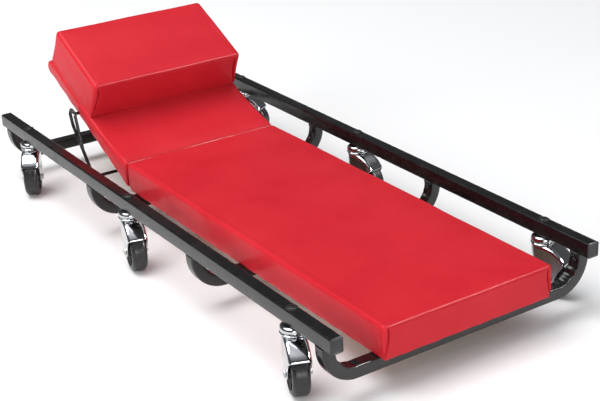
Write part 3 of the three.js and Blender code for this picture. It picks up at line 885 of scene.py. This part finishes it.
def welds():
    """Where each brace end meets the underside of a rail."""
    beads = []
    for name in BRACES:
        low, high = box_in(f"cross_brace_{name}")
        reach = (high[1] - low[1]) / 2
        y, z = low[1] + reach, high[2] + 0.1
        for side in SIDES.values():
            x = side * (high[0] - reach)
            inner = x - side * reach
            beads.append(weld_bead((x - BEAD, low[1], z), (x + BEAD, low[1], z)))
            beads.append(weld_bead((x - BEAD, high[1], z), (x + BEAD, high[1], z)))
            beads.append(weld_bead((inner, y - BEAD, z), (inner, y + BEAD, z)))
    grouped("brace_welds", "frame", beads)


# ---- fixings

LEAF_UNDERSIDE = 1.8  # above the hinge axis
PROP_BAR = Vector((0, 305, 39))  # where the prop's cross bar lies in the rack
WIRE_RADIUS = 2.8
WIRE_END = 26  # how far each end of the prop runs into the board
EYE_WIDTH = 22
EYE_LENGTH = 62


def pan_head():
    """A cross-recess pan head, seated at its frame's origin and pointing up."""
    profile = [(0, 0), (3.3, 0), (3.5, 0.5), (3.2, 1.3), (2.2, 1.9), (0, 2.1)]
    head = turned("pan_head", "nut_black", profile, sides=28)
    for turn in (0, 90):
        bar = block("recess", "nut_black", (-1.9, -0.35, 1.0), (1.9, 0.35, 3))
        bar.data.transform(rotation(turn + 20, "Z"))
        cut(head, bar)
    shade(head, 40)
    return head


def screws():
    """Screws in the uprights, up through the braces into the board, and in the prop's rack."""
    head = pan_head()
    spots = []
    for name in BRACES:
        low, high = box_in(f"cross_brace_{name}")
        tube = high[1] - low[1]
        y = (low[1] + high[1]) / 2
        for side in SIDES.values():
            spots.append(((side * (high[0] - tube), y, high[2] - 10), (-side, 0, 0)))
            if name != "head":
                spots.append(((side * 90, y, low[2]), (0, 0, -1)))
    rack_low, rack_high = box_in("prop_rack")
    spots.append(((0, rack_low[1] + 2, PROP_BAR.z), (0, 1, 0)))
    spots.append(((0, rack_high[1] - 2, PROP_BAR.z), (0, -1, 0)))
    grouped("frame_screws", "frame", [copy_of(head, "screw", facing(*spot)) for spot in spots])
    hinge_screws(head)
    bpy.data.objects.remove(head)


def hinge_screws(head):
    for leaf, body in (("body", "frame"), ("head", "headrest")):
        made = []
        for side in SIDES:
            low, high = box_in(f"hinge_{leaf}_leaf_{side}", HEADREST)
            plate_middle = high[1] - 5 if leaf == "head" else low[1] + 5
            for x in (low[0] + 9, high[0] - 9):
                spot = HEADREST @ facing((x, plate_middle, LEAF_UNDERSIDE), (0, 0, -1))
                made.append(copy_of(head, "screw", spot))
        grouped(f"hinge_{leaf}_screws", body, made)


def rounded_route(corners, radii, steps):
    """A route through corner points with each inner corner turned on an arc."""
    corners = [Vector(c) for c in corners]
    route = [corners[0]]
    for before, corner, after, radius in zip(corners, corners[1:], corners[2:], radii):
        arriving, leaving = (corner - before).normalized(), (after - corner).normalized()
        turn = arriving.angle(leaving)
        axis = arriving.cross(leaving).normalized()
        start = corner - arriving * radius * math.tan(turn / 2)
        out = -axis.cross(arriving)
        centre = start - out * radius
        for i in range(steps + 1):
            route.append(centre + Matrix.Rotation(turn * i / steps, 3, axis) @ out * radius)
    return route + [corners[-1]]


def prop_wire():
    """One bent wire: an end in each edge of the board, a long closed eye, two legs and a cross bar."""
    pivot = Vector(joint("prop_fold")["pos_m"]) / MM
    low, high = box_in("prop_wire")
    leg_x = high[0] - WIRE_RADIUS
    up = (pivot - PROP_BAR).normalized()
    headward = Vector((0, up.z, -up.y))
    reach = (pivot - PROP_BAR).length

    def spot(side, along, out):
        return PROP_BAR + Vector((side * leg_x, 0, 0)) + up * along + headward * out

    def half(side):
        return [
            pivot + Vector((side * (leg_x - WIRE_END), 0, 0)),
            spot(side, reach, 0),
            spot(side, reach + 12, 9),
            spot(side, reach + 4, 19),
            spot(side, reach - 16, EYE_WIDTH),
            spot(side, 0, 0),
        ]

    corners = half(-1) + half(1)[::-1]
    route = rounded_route(corners, [5, 6, 8, 30, 16, 16, 30, 8, 6, 5], 14)
    made = tube_along("prop_wire_bent", route, [WIRE_RADIUS] * len(route), 18)
    for side in SIDES.values():
        strand = [spot(side, reach - 2, 0), spot(side, reach - EYE_LENGTH, 11.5)]
        made = joined(made, tube_along("strand", strand, [WIRE_RADIUS] * 2, 18))
    replaced(made, "frame_paint", "prop", "prop_wire")


# ---- casters

AXLE = np.array([-22.0, 31.5])  # along Y and Z from the stem's foot
AXLE_PLACE = shift((0, *AXLE)) @ rotation(90, "Y")
FORK_HALF = 15.7
FORK_SHEET = 2.0
CROWN_TOP = 77.5
BOSS = 9
AXLE_HOLE = 3.8
KINGPIN_HOLE = 5.3
HEXAGON = 5.9  # radius over the corners of the axle bolt's head and nut
SHOULDER = 5.0
HOOD_Y = -9  # where the crown starts to curve down over the wheel
HOOD_RADIUS = 43.6
HOOD_BACK = 148  # degrees about the curve's own centre
HOOD = (51.0, 133.3)  # degrees about the axle, from the nose to the back of the hood
PLATE_STEPS = 10
THREAD = np.arange(90.0, 112.6, 1.25)  # heights of the stem's thread
STEM_TOP = 113.9
NUT_BASE = 112.2  # on the rail's top


def fork_outline():
    """The fork from the side: boss, front edge, nose, crown, and the hood's back over the wheel."""
    return (  # the point last in the list squares off the hood's lower back corner
        arc(AXLE, BOSS, 175, 368, 16)
        + [(14.2, 63.5), (15.4, 69), (15.2, CROWN_TOP)]
        + arc((HOOD_Y, CROWN_TOP - HOOD_RADIUS), HOOD_RADIUS, 90, HOOD_BACK, 14)
        + [(-36, 44.5)]
    )


def edge_reach(outline, way):
    """How far an outline lies from the axle in one direction."""
    found = 0.0
    for a, b in zip(outline, outline[1:] + outline[:1]):
        a, b = np.array(a) - AXLE, np.array(b) - AXLE
        side = b - a
        cross = way[0] * side[1] - way[1] * side[0]
        if abs(cross) > 1e-9:
            share = (a[1] * way[0] - a[0] * way[1]) / -cross
            distance = (a[0] * side[1] - a[1] * side[0]) / cross
            if -1e-9 <= share <= 1 + 1e-9:
                found = max(found, distance)
    return found


def plan_half(y):
    """Half the fork's width at a place along it: straight sides and a round nose."""
    return FORK_HALF if y <= 0 else math.sqrt(max(FORK_HALF**2 - y**2, 1.0))


def fork_row(outline, angle):
    """Points of the pressed sheet in one direction from the axle, from one side over to the other."""
    way = np.array([math.cos(math.radians(angle)), math.sin(math.radians(angle))])
    edge = edge_reach(outline, way)
    hooded = HOOD[0] <= angle <= HOOD[1]
    tip = AXLE + way * edge
    shoulder = min(SHOULDER, 0.7 * plan_half(tip[0])) if hooded else 0
    row = []
    for distance in np.linspace(AXLE_HOLE, edge - shoulder, PLATE_STEPS):
        y, z = AXLE + way * distance
        row.append((plan_half(y), y, z))
    if hooded:
        x = row[-1][0]
        for angle_up in (18, 36, 54, 72, 90):
            a = math.radians(angle_up)
            y, z = AXLE + way * (edge - shoulder + shoulder * math.sin(a))
            row.append((x - shoulder * (1 - math.cos(a)), y, z))
        row += [((x - shoulder) * share, tip[0], tip[1]) for share in (0.66, 0.33, 0)]
    return row


def strip(here, there):
    """Faces between two rows of points."""
    return [(here[j], here[j + 1], there[j + 1], there[j]) for j in range(len(here) - 1)]


def fork_shell():
    """The fork's sheet: rows of points round the axle, joined up, thickened and bevelled."""
    outline = fork_outline()
    angles = sorted({*np.arange(0, 360, 7.5).round(1), *np.linspace(*HOOD, 25).round(2)})
    vertices, rows, faces = [], [], []
    for angle in angles:
        right = fork_row(outline, angle)
        left = [(-x, y, z) for x, y, z in right]
        if len(right) > PLATE_STEPS:
            left.pop()
        start, middle = len(vertices), len(vertices) + len(right)
        vertices += right + left
        rows.append((list(range(start, middle)), list(range(middle, len(vertices)))))
    for i, (right, left) in enumerate(rows):
        next_right, next_left = rows[(i + 1) % len(rows)]
        faces += strip(right[:PLATE_STEPS], next_right)
        faces += strip(left[:PLATE_STEPS], next_left)
        if len(right) > PLATE_STEPS and len(next_right) > PLATE_STEPS:
            here = right[PLATE_STEPS - 1:] + left[:PLATE_STEPS - 2:-1]
            faces += strip(here, next_right[PLATE_STEPS - 1:] + next_left[:PLATE_STEPS - 2:-1])
    made = piece("fork_master", "caster_chrome", vertices, faces)
    sheet = made.modifiers.new("Sheet", "SOLIDIFY")
    sheet.thickness = FORK_SHEET * MM
    sheet.offset = -1
    apply_modifiers(made)
    ring = arc((0, 0), KINGPIN_HOLE, 0, 348, 29)
    cut(made, prism("kingpin_hole", "caster_chrome", ring, CROWN_TOP - 6, CROWN_TOP + 4))
    return bevelled(made, 0.45, 2, 40, 44)


def bearing_cup():
    """The pressed cup over the balls, held up under the rail, with its upper collar."""
    profile = [
        (4.9, 89.6), (12.4, 89.6), (14.6, 89.1), (16.2, 87.9), (17.1, 86.2), (17.4, 84.2), (17.3, 82.4),
        (16.9, 81.6), (16.3, 81.6), (16.0, 82.4), (15.9, 84.2), (15.3, 86.2), (13.6, 87.6), (12.2, 88.0),
        (4.9, 88.0),
    ]
    return turned("cup_master", "caster_chrome", profile)


def lower_race():
    """The ring pressed up from the crown that the balls run on."""
    profile = [
        (5.4, 77.7), (5.4, 79.2), (9.6, 79.3), (11.8, 78.3), (13.2, 78.1), (14.6, 78.7), (15.8, 79.8),
        (16.8, 80.0), (17.5, 79.4), (17.6, 78.4), (17.2, 77.7),
    ]
    return turned("race_master", "caster_chrome", profile)


def balls():
    """The ring of bearing balls between cup and race."""
    made = []
    count, radius, ring, height = 20, 1.7, 14.3, 80.2
    profile = [(max(radius * math.sin(a), 0), radius * -math.cos(a)) for a in np.linspace(0, math.pi, 9)]
    for i in range(count):
        turn = 2 * math.pi * i / count
        spot = shift((ring * math.cos(turn), ring * math.sin(turn), height))
        made.append(turned("ball", "zinc_steel", profile, spot, 14, 80))
    return joined(*made)


def stem():
    """The kingpin: a riveted head under the crown, a spindle and a threaded stem up through the rail."""
    head = CROWN_TOP - FORK_SHEET - 0.4
    thread = []
    for z in THREAD:
        thread += [(4.35, z), (4.8, z + 0.45), (4.8, z + 0.8)]
    profile = [
        (0, head - 3.2), (4.0, head - 3.1), (6.3, head - 2.2), (7.3, head - 0.8), (7.2, head), (5.0, head),
        (5.0, 89.6), *thread, (4.2, STEM_TOP), (0, STEM_TOP),
    ]
    return turned("stem_master", "caster_chrome", profile, sides=32)


def stem_nut():
    """A thin washer and a low domed nut, nearly flush with the rail."""
    base = NUT_BASE
    washer = turned("washer", "nut_black", [
        (4.9, base), (8.1, base), (8.4, base + 0.2), (8.3, base + 0.6), (7.9, base + 0.8), (4.9, base + 0.8),
    ])
    rim, crown = base + 1.4, base + 2.9
    dome_profile = [(0, base + 0.7), (6.8, base + 0.7), (7.1, base + 1.0), (7.0, rim)]
    for lean in np.linspace(15, 75, 5):
        a = math.radians(lean)
        dome_profile.append((6.9 * math.cos(a), rim + (crown - rim) * math.sin(a)))
    dome = turned("dome", "nut_black", dome_profile + [(1.2, crown), (0.9, crown - 0.5), (0, crown - 0.5)])
    return joined(washer, dome)


def wheel():
    """A moulded wheel: rounded tread with a mould line, dished sides with ribs, and a hub."""
    half = [
        (3.9, 13), (8.0, 13), (8.6, 12.5), (9.0, 9.4), (9.8, 8.7), (20.6, 8.7), (21.6, 9.3), (22.6, 11.2),
        (23.6, 11.9), *arc((25.5, 6), 6, 90, 8, 8), (31.3, 4), (31.35, 0.5), (31.5, 0.25),
    ]
    profile = half + [(r, -h) for r, h in reversed(half)]
    made = turned("wheel_master", "wheel_black", profile, AXLE_PLACE, 72, 30)
    ribs = []
    for side in (-1, 1):
        for i in range(6):
            rib = block("rib", "wheel_black", (8.2, -1.1, 7.5), (22.3, 1.1, 10.9))
            bevelled(rib, 0.4)
            flip = rotation(180 if side < 0 else 0, "X")
            rib.data.transform(AXLE_PLACE @ flip @ rotation(60 * i + 15, "Z"))
            ribs.append(rib)
    return cut(made, *ribs, operation="UNION", sharp=30)


def axle_bolt():
    """A hexagon head on one side, a lock nut with its collar on the other."""
    end = FORK_HALF + 0.3
    shank = turned("shank", "zinc_steel", [
        (0, -end - 2.2), (3.0, -end - 2.2), (3.45, -end), (3.45, end), (3.4, end + 2.6), (2.9, end + 3.1),
        (0, end + 3.1),
    ], AXLE_PLACE, 32)
    head = prism("head", "zinc_steel", arc((0, 0), HEXAGON, 0, 300, 5), -end - 2.2, -end, AXLE_PLACE)
    nut = prism("nut", "zinc_steel", arc((0, 0), HEXAGON, 10, 310, 5), end, end + 2.0, AXLE_PLACE)
    bevelled(head, 0.5)
    bevelled(nut, 0.4)
    collar = turned("collar", "zinc_steel", [
        (3.5, end + 1.8), (5.0, end + 1.8), (4.9, end + 2.5), (4.5, end + 2.8), (3.5, end + 2.8),
    ], AXLE_PLACE, 32)
    return joined(shank, head, nut, collar)


def casters():
    """Builds one of each piece about the floor under its stem, then copies it to all six places."""
    masters = [
        (fork_shell(), "fork", "caster_chrome", "swivel", "caster_fork"),
        (axle_bolt(), "axle_bolt", "zinc_steel", "swivel", "caster_axle"),
        (lower_race(), "lower_race", "caster_chrome", "swivel", None),
        (wheel(), "wheel", "wheel_black", "wheel", "caster_wheel"),
        (stem(), "stem", "caster_chrome", "frame", "caster_kingpin"),
        (bearing_cup(), "bearing_cup", "caster_chrome", "frame", None),
        (balls(), "balls", "zinc_steel", "frame", None),
        (stem_nut(), "stem_nut", "nut_black", "frame", "caster_nut"),
    ]
    for caster in CASTERS:
        place = swivel_place(caster)
        for master, name, slot, body, node in masters:
            made = copy_of(master, f"{name}_{caster}", place)
            if node:
                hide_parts(f"{node}_{caster}")
            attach(made, body if body == "frame" else f"{body}_{caster}")
    for master, *_ in masters:
        bpy.data.objects.remove(master)


# ---- stage

CAMERA_TARGET = Vector((0.049035, -0.033728, 0.057))
CAMERA_AZIMUTH = -33.024
CAMERA_ELEVATION = 23.727
CAMERA_ROLL = -2.239
CAMERA_DISTANCE = 2.1504
CAMERA_LENS = 81.17
FLOOR_SIZE = 60
LIGHT_TARGET = Vector((0, 0, 0.08))
WORLD_HORIZON = 0.10
WORLD_ZENITH = 0.95
WORLD_RAMP = (0.65, 0.97)  # sines of the elevations between which it brightens


def add_camera():
    """The photo's view."""
    azimuth, elevation, roll = map(math.radians, (CAMERA_AZIMUTH, CAMERA_ELEVATION, CAMERA_ROLL))
    back = Vector((
        math.sin(azimuth) * math.cos(elevation),
        -math.cos(azimuth) * math.cos(elevation),
        math.sin(elevation),
    ))
    turn = back.to_track_quat("Z", "Y") @ Matrix.Rotation(roll, 3, "Z").to_quaternion()
    data = bpy.data.cameras.new("camera")
    data.lens = CAMERA_LENS
    data.sensor_width = 36
    camera = added("camera", data)
    camera.rotation_mode = "QUATERNION"
    camera.location = CAMERA_TARGET + back * CAMERA_DISTANCE
    camera.rotation_quaternion = turn
    bpy.context.scene.camera = camera


def add_light(name, place, size, power, glossy=True, diffuse=True):
    """An area light aimed at the creeper's middle."""
    data = bpy.data.lights.new(name, "AREA")
    data.shape = "RECTANGLE"
    data.size, data.size_y = size
    data.energy = power
    light = added(name, data)
    light.location = place
    light.visible_glossy = glossy
    light.visible_diffuse = diffuse
    light.rotation_euler = (LIGHT_TARGET - Vector(place)).to_track_quat("-Z", "Y").to_euler()


def add_world():
    """A soft overhead light that darkens towards the horizon, so that glossy parts have an edge to show."""
    world = bpy.data.worlds.new("studio")
    world.use_nodes = True
    tree = world.node_tree
    direction = tree.nodes.new("ShaderNodeTexCoord").outputs["Generated"]
    split = tree.nodes.new("ShaderNodeSeparateXYZ")
    ramp = tree.nodes.new("ShaderNodeMapRange")
    ramp.interpolation_type = "SMOOTHSTEP"
    for socket, value in zip(ramp.inputs[1:5], (*WORLD_RAMP, WORLD_HORIZON, WORLD_ZENITH)):
        socket.default_value = value
    background = tree.nodes["Background"]
    background.inputs["Color"].default_value = (0.95, 0.97, 1.0, 1.0)
    tree.links.new(direction, split.inputs[0])
    tree.links.new(split.outputs["Z"], ramp.inputs["Value"])
    tree.links.new(ramp.outputs["Result"], background.inputs["Strength"])
    bpy.context.scene.world = world


def add_stage():
    """A pale floor and four soft lights; one light only gleams in glossy edges."""
    mesh = bpy.data.meshes.new("floor")
    half = FLOOR_SIZE / 2
    corners = [(-half, -half, 0), (half, -half, 0), (half, half, 0), (-half, half, 0)]
    mesh.from_pydata(corners, [], [(0, 1, 2, 3)])
    f = Finish("floor", Specular_IOR_Level=0.15)
    f.paint(f.noise(0.8, 2), (0.91, 0.91, 0.91), (0.94, 0.94, 0.94))
    f.set("Roughness", f.spread(f.noise(3, 3), 0.75, 0.85))
    mesh.materials.append(f.material)
    floor = added("floor", mesh)

    add_world()
    add_light("key", (-1.7, 0.9, 4.9), (3.8, 3.8), 218)
    add_light("edge_gleam", (2.6, -3.2, 3.2), (1.7, 0.9), 220, diffuse=False)
    add_light("left_fill", (-4.2, -0.6, 1.8), (3.2, 2.0), 95, glossy=False)
    add_light("front_fill", (-1.0, -5.2, 1.3), (4.0, 1.6), 100)
    bpy.context.scene.view_settings.view_transform = "Standard"


# ---- CAD nodes that stay

def paint_nodes():
    """Gives every CAD node its slot's material and shades its round faces smooth."""
    for row in frame["record"]["subparts"]:
        node = frame["nodes"][row["node"]]
        node.data.materials.clear()
        node.data.materials.append(MATERIALS[row["material_slot"]])
        shade(node, 34)


add_camera()
add_stage()
paint_nodes()
boards()
body_pad()
headrest_pad()
pillow()
all_staples()
for side in SIDES:
    rail(side)
    for end in ENDS:
        plug(side, end)
for name in BRACES:
    brace(name)
welds()
screws()
prop_wire()
casters()
